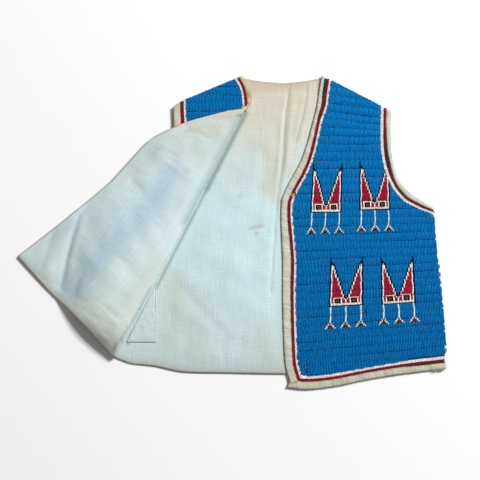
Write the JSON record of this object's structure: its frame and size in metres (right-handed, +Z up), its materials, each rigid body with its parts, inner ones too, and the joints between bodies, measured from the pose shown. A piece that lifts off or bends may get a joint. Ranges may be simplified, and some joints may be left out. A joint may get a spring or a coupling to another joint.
{
  "type": "beaded vest",
  "caption": "Sleeveless hide vest lying flat, fully beaded in blue lanes with maroon and white borders, one front folded open to show its faded muslin lining.",
  "frame": {"origin": "centre of the bounding box on the surface that the vest lies on", "axes": "+X towards the wearer's left as the vest lies, +Y towards the neck, +Z up from the surface"},
  "size_m": [0.684, 0.5006, 0.0277],
  "materials": {
    "muslin": "plain cotton muslin",
    "lining": "faded blue and beige cotton muslin",
    "binding": "soiled cotton muslin, frayed at the hem",
    "hide": "tanned hide, matt",
    "blue_beads": "opaque glossy glass seed beads",
    "maroon_beads": "opaque glossy glass seed beads",
    "white_beads": "opaque glossy glass seed beads"
  },
  "bodies": {
    "root": {"back": "muslin", "back_lining": "lining", "back_lining_patch": "lining", "left_front": "hide", "left_front_beadwork": "blue_beads", "left_front_binding": "binding", "left_front_maroon_row": "maroon_beads", "left_front_white_row": "white_beads", "left_armhole_binding": "binding", "left_armhole_maroon_row": "maroon_beads", "left_armhole_white_row": "white_beads", "right_front_lining": "lining", "right_front": "hide", "right_front_beadwork": "blue_beads", "right_front_binding": "binding", "right_side_beadwork": "blue_beads", "right_yoke_beadwork": "blue_beads", "right_armhole_binding": "binding", "right_armhole_maroon_row": "maroon_beads", "right_armhole_white_row": "white_beads", "right_neck_binding": "binding", "right_neck_maroon_row": "maroon_beads", "right_neck_white_row": "white_beads"}
  },
  "joints": []
}
